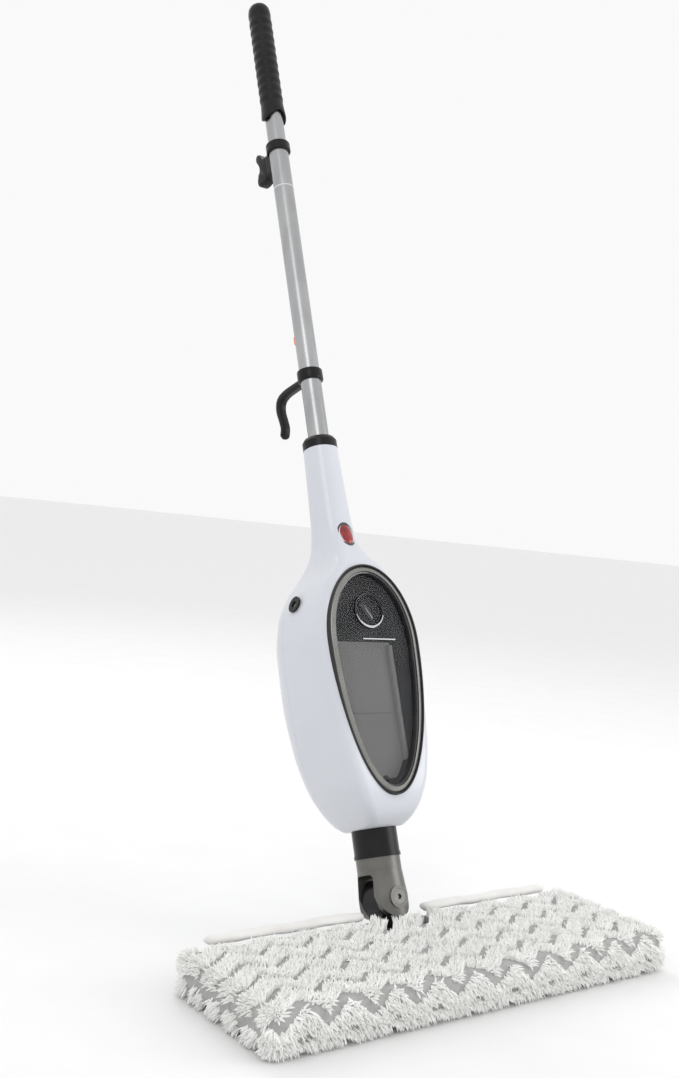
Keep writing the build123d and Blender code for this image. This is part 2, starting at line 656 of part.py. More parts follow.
# ==== Lower neck: outlet collar, yoke, pin and knuckle ====

with BuildPart() as outlet_collar:
    disc(pole, OUTLET_R, YOKE_TOP, HOUSING_BOTTOM)
    disc(pole, OUTLET_R + 0.7, YOKE_TOP, YOKE_TOP + 4)
    disc(pole, 22.0, HOUSING_BOTTOM, HOUSING_BOTTOM + 8)
    disc(pole, YOKE_SPIGOT_R, YOKE_TOP, YOKE_TOP + 16, mode=Mode.SUBTRACT)
    disc(pole, 6.0, YOKE_TOP + 16, HOUSING_BOTTOM + 8, mode=Mode.SUBTRACT)
outlet_collar.part.label = "outlet_collar"
export_step(outlet_collar.part, "parts/outlet_collar.step")

with BuildPart() as steam_pipe:
    disc(pole, 6.0, SLOT_TOP + 2, HOUSING_BOTTOM + 8)
    disc(pole, 4.0, SLOT_TOP + 2, HOUSING_BOTTOM + 8, mode=Mode.SUBTRACT)
steam_pipe.part.label = "steam_pipe"
export_step(steam_pipe.part, "parts/steam_pipe.step")

# The yoke is a fork: a round body flaring towards the pin, slotted from side to side.
with BuildPart() as yoke:
    with BuildSketch(side):
        with BuildLine():
            Polyline(
                (0, 8), (YOKE_FLARE_R, 8), (YOKE_FLARE_R, 34), (YOKE_R, 60), (YOKE_R, YOKE_TOP),
                (YOKE_SPIGOT_R, YOKE_TOP), (YOKE_SPIGOT_R, YOKE_TOP + 16), (0, YOKE_TOP + 16),
                close=True,
            )
        make_face()
    revolve(axis=Axis(pole.origin, pole.z_dir))
    disc(front, BOSS_R, -BOSS_PROUD, BOSS_PROUD, (0, PIN_HEIGHT))
    with BuildSketch(side):
        with Locations((0, SLOT_TOP / 2)):
            slot = Rectangle(2 * SLOT_HALF, SLOT_TOP)
        fillet(slot.vertices().group_by(Axis.Y)[-1], 5.0)
    extrude(amount=40, both=True, mode=Mode.SUBTRACT)
    with BuildSketch(front):
        with Locations((0, PIN_HEIGHT)):
            Circle(KNUCKLE_R)
        with Locations((0, 73)):
            Rectangle(54, 54)
        make_hull()
    extrude(amount=40, both=True, mode=Mode.INTERSECT)
    disc(pole, 6.0, SLOT_TOP - 1, YOKE_TOP + 20, mode=Mode.SUBTRACT)
    disc(front, PIN_R, -40, 40, (0, PIN_HEIGHT), mode=Mode.SUBTRACT)
    disc(front, PIN_HEAD_R + 0.2, BOSS_PROUD - PIN_HEAD, 40, (0, PIN_HEIGHT), mode=Mode.SUBTRACT)
    disc(front, PIN_HEAD_R + 0.2, -40, PIN_HEAD - BOSS_PROUD, (0, PIN_HEIGHT), mode=Mode.SUBTRACT)
yoke.part.label = "yoke"
export_step(yoke.part, "parts/yoke.step")

with BuildPart() as yoke_pin:
    disc(front, PIN_R, PIN_HEAD - BOSS_PROUD, BOSS_PROUD - PIN_HEAD, (0, PIN_HEIGHT))
    disc(front, PIN_HEAD_R, BOSS_PROUD - PIN_HEAD, BOSS_PROUD, (0, PIN_HEIGHT))
    with BuildSketch(front.offset(BOSS_PROUD - 2.2)):
        with Locations((0, PIN_HEIGHT)):
            RegularPolygon(3.0, 6)
    extrude(amount=4, mode=Mode.SUBTRACT)
yoke_pin.part.label = "yoke_pin"
export_step(yoke_pin.part, "parts/yoke_pin.step")

with BuildPart() as pin_nut:
    disc(front, PIN_HEAD_R, -BOSS_PROUD, PIN_HEAD - BOSS_PROUD, (0, PIN_HEIGHT))
pin_nut.part.label = "pin_nut"
export_step(pin_nut.part, "parts/pin_nut.step")

# The knuckle turns sideways in the yoke and carries the cross pin of the head.
with BuildPart() as knuckle:
    with BuildSketch(front):
        with Locations((0, PIN_HEIGHT)):
            Circle(KNUCKLE_R)
            Rectangle(2 * BARREL_HALF, PIN_HEIGHT + BARREL_R, align=(Align.CENTER, Align.MAX))
    extrude(amount=KNUCKLE_HALF, both=True)
    with BuildSketch(side):
        Circle(BARREL_R)
        with Locations((0, 38)):
            Rectangle(2 * KNUCKLE_HALF, 36)
        make_hull()
    extrude(amount=40, both=True, mode=Mode.INTERSECT)
    disc(front, PIN_R + FIT, -20, 20, (0, PIN_HEIGHT), mode=Mode.SUBTRACT)
    disc(side, PIN_R + FIT, -30, 30, mode=Mode.SUBTRACT)
knuckle.part.label = "knuckle"
export_step(knuckle.part, "parts/knuckle.step")

# ==== Head: a flat steam box with two lugs at the back, worn inside the pad ====

with BuildPart() as head_pin:
    disc(side, PIN_R, -LUG[1] - 1.5, LUG[1] + 1.5)
head_pin.part.label = "head_pin"
export_step(head_pin.part, "parts/head_pin.step")

head_depth = HEAD_BACK - HEAD_FRONT
head_middle = (HEAD_BACK + HEAD_FRONT) / 2
base_plane = Plane.XY.offset(HEAD_BOTTOM)
screw_spots = [(x, y) for x in (-200.0, 0.0, 200.0) for y in (-46.0, 44.0)]

with BuildPart() as head_base:
    with BuildSketch(base_plane):
        with Locations((0, head_middle)):
            RectangleRounded(2 * HEAD_HALF_X, head_depth, HEAD_CORNER)
    extrude(amount=HEAD_SPLIT - HEAD_BOTTOM)
    fillet(head_base.faces().sort_by(Axis.Z)[0].edges(), 4.0)
    with BuildSketch(base_plane.offset(HEAD_WALL)):
        with Locations((0, head_middle)):
            RectangleRounded(
                2 * (HEAD_HALF_X - HEAD_WALL), head_depth - 2 * HEAD_WALL, HEAD_CORNER - HEAD_WALL
            )
    extrude(amount=20, mode=Mode.SUBTRACT)
    # Two lugs behind the back wall carry the cross pin.
    for edge in (LUG[0], -LUG[1]):
        with BuildSketch(Plane.YZ.offset(edge)):
            with Locations((HINGE_Y, HINGE_Z)):
                Circle(BARREL_R)
            with Locations((HEAD_BACK + 2, HINGE_Z)):
                Rectangle(4, 2 * BARREL_R)
            make_hull()
        extrude(amount=LUG[1] - LUG[0])
    disc(side, PIN_R, -40, 40, mode=Mode.SUBTRACT)
    # Steam holes in a row under the manifold, and screw holes from below.
    with Locations(base_plane):
        with GridLocations(36.0, 1.0, 11, 1):
            Hole(radius=1.5, depth=5)
    for spot in screw_spots:
        disc(base_plane, 1.8, -1, 5, spot, mode=Mode.SUBTRACT)
        disc(base_plane, 3.2, -1, 1.4, spot, mode=Mode.SUBTRACT)
head_base.part.label = "head_base"
export_step(head_base.part, "parts/head_base.step")

with BuildPart() as head_cover:
    with BuildSketch(Plane.XY.offset(HEAD_SPLIT)):
        with Locations((0, head_middle)):
            RectangleRounded(2 * HEAD_HALF_X, head_depth, HEAD_CORNER)
    extrude(amount=HEAD_TOP - HEAD_SPLIT)
    fillet(head_cover.faces().sort_by(Axis.Z)[-1].edges(), 4.0)
    with BuildSketch(Plane.XY.offset(HEAD_SPLIT)):
        with Locations((0, head_middle)):
            RectangleRounded(
                2 * (HEAD_HALF_X - HEAD_WALL), head_depth - 2 * HEAD_WALL, HEAD_CORNER - HEAD_WALL
            )
    extrude(amount=HEAD_TOP - HEAD_SPLIT - HEAD_WALL, mode=Mode.SUBTRACT)
    for spot in screw_spots:
        disc(Plane.XY, 4.5, HEAD_BOTTOM + HEAD_WALL, HEAD_TOP - 2, spot)
        disc(Plane.XY, SCREW_R, HEAD_BOTTOM, HEAD_TOP - 4, spot, mode=Mode.SUBTRACT)
head_cover.part.label = "head_cover"
export_step(head_cover.part, "parts/head_cover.step")

with BuildPart() as steam_manifold:
    with BuildSketch(base_plane.offset(HEAD_WALL)):
        RectangleRounded(400.0, 14.0, 3.0)
    extrude(amount=6.0)
    with BuildSketch(base_plane.offset(HEAD_WALL)):
        RectangleRounded(397.0, 11.0, 2.0)
    extrude(amount=4.5, mode=Mode.SUBTRACT)
steam_manifold.part.label = "steam_manifold"
export_step(steam_manifold.part, "parts/steam_manifold.step")

with BuildPart() as head_screws:
    for spot in screw_spots:
        disc(base_plane, 3.0, 0.2, 1.4, spot)
        disc(base_plane, SCREW_R, 1.4, 14.0, spot)
head_screws.part.label = "head_screws"
export_step(head_screws.part, "parts/head_screws.step")

# ==== Pad: a padded microfibre pocket with an open notch at the back for the knuckle ====

with BuildPart() as pad:
    with BuildSketch():
        RectangleRounded(2 * PAD_HALF_X, 2 * PAD_HALF_Y, 22.0)
    extrude(amount=PAD_TOP)
    fillet(pad.faces().sort_by(Axis.Z)[-1].edges(), 12.0)
    fillet(pad.faces().sort_by(Axis.Z)[0].edges(), 8.0)
    with BuildSketch(Plane.XY.offset(HEAD_BOTTOM - SOFT_GAP)):
        with Locations((0, head_middle)):
            RectangleRounded(
                2 * (HEAD_HALF_X + SOFT_GAP), head_depth + 2 * SOFT_GAP, HEAD_CORNER + SOFT_GAP
            )
    extrude(amount=HEAD_TOP - HEAD_BOTTOM + 2 * SOFT_GAP, mode=Mode.SUBTRACT)
    with BuildSketch():
        with Locations((0, (NOTCH_FRONT + 100) / 2)):
            Rectangle(2 * NOTCH_HALF, 100 - NOTCH_FRONT)
    extrude(amount=PAD_TOP, mode=Mode.SUBTRACT)
    # Steps along the back edge, top and bottom, where the smooth hem lies.
    with BuildSketch(Plane.YZ):
        for low in (-1.0, PAD_TOP - HEM_THICK - SOFT_GAP):
            with Locations((HEM_FRONT - SOFT_GAP, low)):
                Rectangle(40, HEM_THICK + SOFT_GAP + 1.0, align=(Align.MIN, Align.MIN))
    extrude(amount=HEM_HALF_X + SOFT_GAP, both=True, mode=Mode.SUBTRACT)
pad.part.label = "pad"
export_step(pad.part, "parts/pad.step")

# The hem binds the mouth of the pocket: four smooth rolls, left and right of the notch.
with BuildPart() as pad_hem:
    for start in (-HEM_HALF_X, NOTCH_HALF + 1):
        for low in (0.0, PAD_TOP - HEM_THICK):
            with BuildSketch(Plane.YZ.offset(start)):
                with Locations((HEM_FRONT, low)):
                    RectangleRounded(16.0, HEM_THICK, 4.5, align=(Align.MIN, Align.MIN))
            extrude(amount=HEM_HALF_X - NOTCH_HALF - 1)
pad_hem.part.label = "pad_hem"
export_step(pad_hem.part, "parts/pad_hem.step")
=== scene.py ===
# %% [markdown]
# # Steam mop
# The CAD model of the mop is loaded as a fixed frame. Hard turned and moulded parts keep
# their CAD shape and get a finish. The housing, the tank front, the grip and the soft pad
# are modelled here, because their curves, rims and pile need more than a plain solid.

# %% Load the frame
import bpy
import bmesh
import json
import math
import numpy as np
from mathutils import Matrix, Vector


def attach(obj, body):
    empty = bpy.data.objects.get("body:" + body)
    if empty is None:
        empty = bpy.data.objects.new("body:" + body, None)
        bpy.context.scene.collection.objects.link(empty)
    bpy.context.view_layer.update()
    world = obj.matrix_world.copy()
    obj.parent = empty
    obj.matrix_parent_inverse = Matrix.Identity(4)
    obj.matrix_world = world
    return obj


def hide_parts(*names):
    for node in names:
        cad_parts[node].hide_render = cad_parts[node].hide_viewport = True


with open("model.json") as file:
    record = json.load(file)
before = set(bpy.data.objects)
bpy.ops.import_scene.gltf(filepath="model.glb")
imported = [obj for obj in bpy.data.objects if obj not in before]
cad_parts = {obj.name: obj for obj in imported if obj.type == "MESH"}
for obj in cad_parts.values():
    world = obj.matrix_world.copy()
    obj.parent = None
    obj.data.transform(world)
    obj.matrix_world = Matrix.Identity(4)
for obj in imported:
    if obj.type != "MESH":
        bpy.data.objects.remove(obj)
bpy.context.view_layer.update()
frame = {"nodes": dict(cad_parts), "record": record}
nodes = frame["nodes"]

# %% [markdown]
# ## Working in the pole's own directions
# The pole leans back. It is far easier to model a piece upright, in millimetres, with x
# across, y to the back and z up the pole, and to lean the finished mesh once at the end.

# %% Lean and small helpers
LEAN = math.radians(22.3)
POLE_FOOT = (0, 0.083, 0.024)
MM = 0.001
POLE = (Matrix.Translation(POLE_FOOT) @ Matrix.Rotation(-LEAN, 4, "X")
        @ Matrix.Scale(MM, 4))
FLAT = Matrix.Scale(MM, 4)
print("pole leans back by", round(math.degrees(LEAN), 1), "degrees")


def nothing_selected():
    if bpy.context.object and bpy.context.object.mode != "OBJECT":
        bpy.ops.object.mode_set(mode="OBJECT")
    bpy.ops.object.select_all(action="DESELECT")


def only(piece):
    nothing_selected()
    piece.select_set(True)
    bpy.context.view_layer.objects.active = piece


def outward(piece):
    """Merges doubles and turns every face of a closed mesh outwards."""
    only(piece)
    bpy.ops.object.mode_set(mode="EDIT")
    bpy.ops.mesh.select_all(action="SELECT")
    bpy.ops.mesh.remove_doubles(threshold=0.0005)
    bpy.ops.mesh.normals_make_consistent(inside=False)
    bpy.ops.object.mode_set(mode="OBJECT")


def place(piece, matrix, finish, body, stands_for=(), angle=30):
    """Puts a finished mesh in the mop's frame, with its finish and body, and hides the CAD
    parts it stands for.
    """
    outward(piece)
    piece.data.transform(matrix)
    only(piece)
    bpy.ops.object.shade_smooth_by_angle(angle=math.radians(angle))
    piece.data.materials.clear()
    piece.data.materials.append(finish)
    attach(piece, body)
    if stands_for:
        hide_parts(*stands_for)
    print(piece.name, len(piece.data.polygons), "faces")


# %% [markdown]
# ## Skinning rings
# A moulded shell is easiest as a stack of rings: a circle is added, its points are moved to
# the first section, and each further ring is extruded from the last and moved into place.

# %% Skin rings
def skin(name, rings, wrap=False):
    """Extrudes a ring of points through every ring given; caps it, or joins the ends."""
    nothing_selected()
    bpy.ops.mesh.primitive_circle_add(vertices=len(rings[0]), fill_type="NOTHING")
    piece = bpy.context.object
    piece.name = name
    bpy.ops.object.mode_set(mode="EDIT")
    mesh = bmesh.from_edit_mesh(piece.data)
    mesh.verts.ensure_lookup_table()
    current = list(mesh.verts)
    for vert, point in zip(current, rings[0]):
        vert.co = point
    first = current
    for ring in rings[1:]:
        bmesh.update_edit_mesh(piece.data)
        edges = []
        for i, vert in enumerate(current):
            after = current[(i + 1) % len(current)]
            edges += [e for e in vert.link_edges if e.other_vert(vert) is after]
        grown = bmesh.ops.extrude_edge_only(mesh, edges=edges)
        fresh = {g for g in grown["geom"] if isinstance(g, bmesh.types.BMVert)}
        current = [next(e.other_vert(v) for e in v.link_edges if e.other_vert(v) in fresh)
                   for v in current]
        for vert, point in zip(current, ring):
            vert.co = point
    count = len(current)
    if wrap:
        for i in range(count):
            j = (i + 1) % count
            mesh.faces.new((first[i], first[j], current[j], current[i]))
    else:
        mesh.faces.new(list(reversed(first)))
        mesh.faces.new(current)
    bmesh.update_edit_mesh(piece.data)
    bpy.ops.object.mode_set(mode="OBJECT")
    return piece


def turned(profile, count):
    """Rings of a turned piece about the pole's axis: profile is radius and height."""
    turns = [2 * math.pi * i / count for i in range(count)]
    return [[Vector((r * math.cos(t), r * math.sin(t), h)) for t in turns]
            for r, h in profile]


def turned_across(profile, count, height, middle=0.0, stretch=(1, 1)):
    """Rings about an axis that runs front to back: profile is radius and distance back."""
    return [[Vector((middle + stretch[0] * p.x, p.z, height + stretch[1] * p.y)) for p in ring]
            for ring in turned(profile, count)]


def subtract(piece, tool):
    """Cuts the tool out of the piece and removes the tool."""
    only(piece)
    cut = piece.modifiers.new("cut", "BOOLEAN")
    cut.operation = "DIFFERENCE"
    cut.solver = "EXACT"
    cut.object = tool
    bpy.ops.object.modifier_apply(modifier=cut.name)
    bpy.data.objects.remove(tool, do_unlink=True)


# %% [markdown]
# ## Finishes
# Every finish is a Principled shader whose colour and roughness are broken up by noise in
# object coordinates, with a fine bump, because no moulded or plated surface is even.

# %% Finish helper
def finish(name, dark, light, rough, metal=0.0, grain=400.0, bump=0.03, patch=12.0,
           stretch=(1, 1, 1), coat=0.0, sheen=0.0, alpha=1.0, spread=0.05, shine=0.5):
    made = bpy.data.materials.new(name)
    made.use_nodes = True
    tree = made.node_tree
    shader = next(n for n in tree.nodes if n.type == "BSDF_PRINCIPLED")
    where = tree.nodes.new("ShaderNodeTexCoord")
    mapping = tree.nodes.new("ShaderNodeMapping")
    mapping.inputs["Scale"].default_value = stretch
    tree.links.new(where.outputs["Object"], mapping.inputs["Vector"])
    clouds = tree.nodes.new("ShaderNodeTexNoise")
    clouds.inputs["Scale"].default_value = patch
    clouds.inputs["Detail"].default_value = 6.0
    tree.links.new(mapping.outputs["Vector"], clouds.inputs["Vector"])
    ramp = tree.nodes.new("ShaderNodeValToRGB")
    ramp.color_ramp.elements[0].position = 0.3
    ramp.color_ramp.elements[0].color = (*dark, 1)
    ramp.color_ramp.elements[1].position = 0.7
    ramp.color_ramp.elements[1].color = (*light, 1)
    tree.links.new(clouds.outputs["Fac"], ramp.inputs["Fac"])
    tree.links.new(ramp.outputs["Color"], shader.inputs["Base Color"])
    grains = tree.nodes.new("ShaderNodeTexNoise")
    grains.inputs["Scale"].default_value = grain
    grains.inputs["Detail"].default_value = 3.0
    tree.links.new(mapping.outputs["Vector"], grains.inputs["Vector"])
    spreading = tree.nodes.new("ShaderNodeMapRange")
    spreading.inputs["To Min"].default_value = max(0.02, rough - spread)
    spreading.inputs["To Max"].default_value = rough + spread
    tree.links.new(grains.outputs["Fac"], spreading.inputs["Value"])
    tree.links.new(spreading.outputs["Result"], shader.inputs["Roughness"])
    relief = tree.nodes.new("ShaderNodeBump")
    relief.inputs["Strength"].default_value = bump
    relief.inputs["Distance"].default_value = 0.001
    tree.links.new(grains.outputs["Fac"], relief.inputs["Height"])
    tree.links.new(relief.outputs["Normal"], shader.inputs["Normal"])
    shader.inputs["Metallic"].default_value = metal
    shader.inputs["Coat Weight"].default_value = coat
    shader.inputs["Coat Roughness"].default_value = 0.08
    shader.inputs["Sheen Weight"].default_value = sheen
    shader.inputs["Alpha"].default_value = alpha
    shader.inputs["Specular IOR Level"].default_value = shine
    return made


# %% [markdown]
# ## The mop's colours
# The housing is glossy white plastic, the pole is satin silver tube, and the grip, collars
# and hooks are black. Each pair of colours is close together, so a surface stays one
# colour and only loses the flatness of a single value.

# %% The mop's finishes
white_gloss = finish("white gloss plastic", (0.60, 0.62, 0.67), (0.65, 0.67, 0.72), 0.26,
                     grain=700, bump=0.01, patch=5, coat=0.3)
black_satin = finish("black moulded plastic", (0.005, 0.005, 0.006), (0.011, 0.011, 0.012),
                     0.38, grain=1400, bump=0.12, patch=30, shine=0.25)
silver = finish("satin silver tube", (0.36, 0.365, 0.37), (0.45, 0.455, 0.46), 0.3, metal=1.0,
                grain=900, bump=0.02, stretch=(1, 1, 0.04), patch=60)
bezel_grey = finish("satin bezel grey", (0.22, 0.22, 0.205), (0.30, 0.30, 0.285), 0.28,
                    metal=0.85, grain=900, bump=0.02, patch=30)
bright = finish("polished steel", (0.68, 0.68, 0.70), (0.74, 0.74, 0.76), 0.10, metal=1.0)
plated = finish("zinc plated steel", (0.42, 0.42, 0.42), (0.52, 0.52, 0.52), 0.34, metal=1.0)
black_collar = finish("black collar", (0.004, 0.004, 0.005), (0.009, 0.009, 0.010), 0.3,
                      grain=900, bump=0.05, patch=30, shine=0.25)
dark_steel = finish("blackened steel", (0.10, 0.10, 0.095), (0.16, 0.16, 0.15), 0.3, metal=0.9)
orange = finish("orange plastic", (0.80, 0.13, 0.01), (0.86, 0.18, 0.02), 0.3, coat=0.3)
gunmetal = finish("gunmetal paint", (0.125, 0.12, 0.11), (0.17, 0.165, 0.152), 0.34, metal=0.6,
                  grain=1100, bump=0.05, patch=40)
red_lens = finish("red lens", (0.16, 0.002, 0.003), (0.38, 0.008, 0.008), 0.16, coat=0.5,
                  patch=110)
rubber = finish("black rubber", (0.010, 0.010, 0.011), (0.018, 0.018, 0.019), 0.62, bump=0.08)
smoked = finish("smoked window", (0.012, 0.013, 0.015), (0.03, 0.032, 0.036), 0.06, grain=90,
                bump=0.004, alpha=0.36, spread=0.02, shine=0.22)
# The tank wall is near black partly for its own dark plastic and partly as a painted dark
# reflection seen through the window.
tank_dark_and_painted_reflection = finish("dark tank wall with painted reflection", (0.006, 0.006, 0.008), (0.02, 0.02, 0.023), 0.35, patch=20)
tank_grey = finish("grey tank block", (0.55, 0.55, 0.54), (0.80, 0.80, 0.79), 0.5, patch=7,
                   grain=120, bump=0.0, stretch=(1, 1, 0.5))
charcoal = finish("charcoal gloss plastic", (0.012, 0.012, 0.014), (0.03, 0.03, 0.034), 0.16,
                  coat=0.7, patch=40)
nylon = finish("natural nylon", (0.66, 0.64, 0.58), (0.72, 0.70, 0.64), 0.5)
cast = finish("cast aluminium", (0.42, 0.42, 0.43), (0.55, 0.55, 0.56), 0.5, metal=1.0,
              bump=0.3)
brass = finish("brass", (0.55, 0.38, 0.13), (0.66, 0.47, 0.18), 0.3, metal=1.0)
hose_red = finish("silicone hose", (0.42, 0.07, 0.04), (0.50, 0.10, 0.06), 0.5)
head_black = finish("black glass-filled nylon", (0.02, 0.02, 0.021), (0.045, 0.045, 0.047), 0.6,
                    bump=0.2)
pile_white = finish("white pile", (0.90, 0.90, 0.88), (0.97, 0.97, 0.955), 0.9, grain=500,
                    bump=0.2, patch=60, sheen=0.5)
backing = finish("grey backing cloth", (0.36, 0.36, 0.355), (0.46, 0.46, 0.45), 0.95, grain=900,
                 bump=0.6, patch=120)
binding = finish("smooth hem cloth", (0.74, 0.73, 0.71), (0.82, 0.81, 0.79), 0.85, grain=1500,
                 bump=0.35, patch=50, sheen=0.3)
mark_white = finish("pale print", (0.60, 0.61, 0.62), (0.68, 0.69, 0.70), 0.4)
print("first finish", white_gloss.name, "and last finish", mark_white.name)

# %% [markdown]
# ## Finishes on the CAD parts
# The record groups the CAD nodes into material slots, so each slot gets one finish.

# %% Dress the CAD nodes
by_slot = {
    "black_plastic": black_satin, "silver_tube": silver, "polished_steel": bright,
    "orange_plastic": orange, "zinc_steel": plated, "white_shell": white_gloss,
    "red_lens": red_lens, "black_rubber": rubber, "smoked_clear": smoked,
    "grey_tank": tank_dark_and_painted_reflection, "dark_gloss": charcoal, "gunmetal_plastic": gunmetal,
    "nylon": nylon, "cast_aluminium": cast, "brass_fitting": brass,
    "plated_bracket": plated, "hose_rubber": hose_red, "head_plastic": head_black,
    "pad_pile": pile_white, "pad_binding": binding,
}
for part in frame["record"]["subparts"]:
    mesh = nodes[part["node"]].data
    mesh.materials.clear()
    mesh.materials.append(by_slot[part["material_slot"]])
nodes["tank_liner"].data.materials[0] = tank_grey
nodes["yoke_pin"].data.materials[0] = dark_steel
for collar in ("outlet_collar", "neck_collar", "upper_collar", "knuckle"):
    nodes[collar].data.materials[0] = black_collar
print("finishes on", len(nodes), "CAD nodes")

# %% [markdown]
# ## Housing
# The real housing is two glossy mouldings: a deep front shell that runs up into the neck,
# and a rear cover. One skin through smoothed sections gives the outside of both. A smaller
# skin hollows it, and a block takes away the other half, so each moulding is a closed wall
# and a fine real seam runs between the two.

# %% Housing sections
# height, half width, front, back, front corner radius, back corner radius
STATIONS = (
    (104, 26, 27, 31, 12, 18), (112, 32, 36.5, 41, 12, 21), (128, 42, 44.5, 50, 13, 25),
    (155, 53.5, 47.6, 58.5, 13, 29), (200, 62.5, 48, 65, 13, 31), (255, 66.5, 48, 68, 13, 31),
    (305, 66.8, 48, 67.5, 13, 31), (345, 61, 48, 63, 13, 29), (372, 48.5, 48, 55.5, 13, 25),
    (391, 34.5, 45.5, 46, 13, 20), (406, 27.5, 36.5, 34.5, 15, 18), (424, 23.8, 28, 26, 18, 18),
    (450, 22.4, 23.8, 22.8, 19.5, 19.5), (500, 21.2, 21.6, 21.4, 19.8, 19.8),
    (546, 20.2, 20.2, 20.2, 19.4, 19.4),
)
table = np.array(STATIONS, float)
HOUSING_FOOT, NECK_TOP = 104.0, 546.0
print("housing sections", len(STATIONS))


def smooth_station(height):
    """Values of a section at any height, on a curve that never overshoots its stations."""
    heights = table[:, 0]
    i = int(np.clip(np.searchsorted(heights, height) - 1, 0, len(heights) - 2))
    gap = heights[i + 1] - heights[i]
    t = (height - heights[i]) / gap
    steps = np.diff(table, axis=0) / np.diff(heights)[:, None]
    slopes = np.zeros_like(table)
    slopes[0], slopes[-1] = steps[0], steps[-1]
    same = steps[:-1] * steps[1:] > 0
    slopes[1:-1] = np.where(
        same, 2 * steps[:-1] * steps[1:] / (steps[:-1] + steps[1:] + 1e-12), 0)
    a, b = table[i], table[i + 1]
    return ((1 + 2 * t) * (1 - t) ** 2 * a + t * (1 - t) ** 2 * gap * slopes[i]
            + t * t * (3 - 2 * t) * b + t * t * (t - 1) * gap * slopes[i + 1])


CORNER_STEPS = 12


def section_ring(height, inset=0.0):
    """A rounded section across the pole as a ring of points."""
    _, half, front, back, front_r, back_r = smooth_station(
        min(max(height, HOUSING_FOOT), NECK_TOP))
    half, front, back = half - inset, front - inset, back - inset
    front_r, back_r = max(front_r - inset, 2.0), max(back_r - inset, 2.0)
    ring = []
    for sx, sy, radius, start in ((1, -1, front_r, -90), (1, 1, back_r, 0),
                                  (-1, 1, back_r, 90), (-1, -1, front_r, 180)):
        reach = back if sy > 0 else front
        radius = min(radius, half - 0.2)
        centre = (sx * (half - radius), sy * (reach - radius))
        for step in range(CORNER_STEPS + 1):
            turn = math.radians(start + 90 * step / CORNER_STEPS)
            ring.append(Vector((centre[0] + radius * math.cos(turn),
                                centre[1] + radius * math.sin(turn), height)))
    return ring


EGG_HEIGHT, EGG_HALF, EGG_UP, EGG_DOWN = 302, 63, 88, 168


def egg(inset, front, count=96):
    """The tank's egg outline at one depth, as a ring of points."""
    ring = []
    for i in range(count):
        turn = 2 * math.pi * i / count
        tall = (EGG_UP if math.sin(turn) > 0 else EGG_DOWN) - inset
        ring.append(Vector(((EGG_HALF - inset) * math.cos(turn), -front,
                            EGG_HEIGHT + tall * math.sin(turn))))
    return ring


# %% Hollow halves of the housing
WALL = 2.6
REACH = 200
FRONT_CUT, REAR_CUT = 33.95, 34.1
outside = [section_ring(104, 2.2), section_ring(104.3, 1.2), section_ring(105.0, 0.4)]
outside += [section_ring(h) for h in np.linspace(106, NECK_TOP, 89)]
inside = [section_ring(106.6, WALL)]
inside += [section_ring(h, WALL) for h in np.linspace(111, NECK_TOP, 88)]
inside += [[Vector((p.x, p.y, 560)) for p in section_ring(NECK_TOP, WALL)]]


def moulding(name, cut_from, cut_to):
    """One half of the housing as a wall: cut_from and cut_to bound what is cut away."""
    shell = skin(name, outside)
    outward(shell)
    hollow = skin("hollow tool", inside)
    outward(hollow)
    subtract(shell, hollow)
    half = skin("half tool", [[Vector((x, y, h)) for x, y in (
        (-REACH, cut_from), (REACH, cut_from), (REACH, cut_to), (-REACH, cut_to))]
        for h in (0, 700)])
    outward(half)
    subtract(shell, half)
    return shell


# %% [markdown]
# ## Front moulding
# The front shell has the large egg-shaped opening for the tank and a pocket for the lens.
# Both are cut with a plain tool of the same outline, as a mould's core would form them.

# %% Front moulding
LENS_HEIGHT = 433
front_shell = moulding("front_moulding", FRONT_CUT, REACH)
subtract(front_shell, skin("egg tool", [egg(0, 16), egg(0, 70)]))
subtract(front_shell, skin("pocket tool", turned_across(
    ((1, -60), (1, -20.5)), 48, LENS_HEIGHT, stretch=(12.6, 15.1))))
place(front_shell, POLE, white_gloss, "housing", ("front_housing",), 35)

# %% [markdown]
# ## Rear moulding
# The rear cover is held by four screws, each at the bottom of a round well. The wells are
# turned tools, set where the CAD screws stand.

# %% Rear moulding
SCREW_SPOTS = ((-51.3, 180), (51.3, 180), (-58, 318), (58, 318))
rear_shell = moulding("rear_moulding", -REACH, REAR_CUT)
for x, h in SCREW_SPOTS:
    subtract(rear_shell, skin("screw well tool", turned_across(
        ((3.5, 38), (3.5, 90)), 32, h, middle=x)))
place(rear_shell, POLE, white_gloss, "housing", ("rear_housing",), 35)

# %% [markdown]
# ## Tank front
# The tank's front is a stack of egg-shaped rims: a black gasket, a silver bezel that falls
# away outwards, an inner lip whose dark colour is painted shade between bezel and window,
# and the smoked window. Each rim is one egg ring extruded round its own profile and closed
# on itself.

# %% Gasket, bezel and painted-shade lip
def rim(name, profile, made_of, stands_for=()):
    """An egg-shaped rim on the housing: profile is inset and distance in front."""
    piece = skin(name, [egg(inset, front) for inset, front in profile], wrap=True)
    place(piece, POLE, made_of, "housing", stands_for, 40)


rim("gasket_rim", ((0.1, 36), (0.1, 49.0), (0.5, 49.6), (1.8, 49.6), (2.2, 49.0), (2.2, 36)),
    rubber, ("tank_gasket",))
rim("bezel_rim", ((2.3, 41), (2.3, 47.4), (2.7, 48.2), (4.8, 49.2), (7.4, 50.3), (8.0, 50.4),
                  (8.45, 50.0), (8.5, 41)), bezel_grey, ("tank_bezel",))
# The inner lip is charcoal as painted shade: its dark band stands for the shadow between the
# bezel and the window.
rim("painted_shade_lip", ((8.6, 42), (8.6, 48.0), (9.0, 48.6), (10.4, 48.2), (11.4, 45.6),
                   (11.4, 42)), charcoal)

# %% [markdown]
# ## Smoked window
# The window is a thin clear pane tinted dark, with a round hole for the filler. It is the
# same egg in three rings, the last one smaller, so that its front edge is eased.

